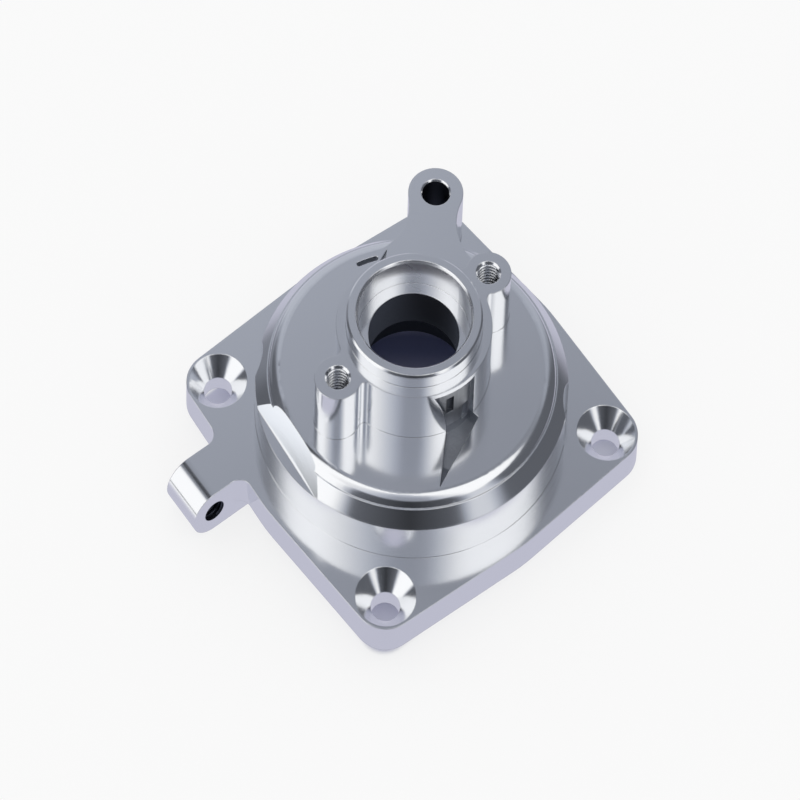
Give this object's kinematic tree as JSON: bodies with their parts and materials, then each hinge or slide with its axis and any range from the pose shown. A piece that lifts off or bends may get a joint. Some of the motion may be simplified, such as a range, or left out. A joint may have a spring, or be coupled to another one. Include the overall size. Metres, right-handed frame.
{
  "type": "clutch cover",
  "caption": "Machined aluminium clutch cover: a square plate with countersunk screw holes, a round housing, a central bearing boss with two threaded ears and a hinge knuckle.",
  "frame": {"origin": "on the bearing axis, at the mounting face, which is also the centre of the four screw holes", "axes": "+Z along the bearing axis, away from the engine; X and Y along the sides of the screw square, with the knuckle on the -X side and the tall screw post at +X +Y"},
  "size_m": [0.0806, 0.0696, 0.0364],
  "materials": {
    "machined_aluminium": "turned and milled, bright"
  },
  "bodies": {
    "root": {"clutch_cover": "machined_aluminium"}
  },
  "joints": []
}
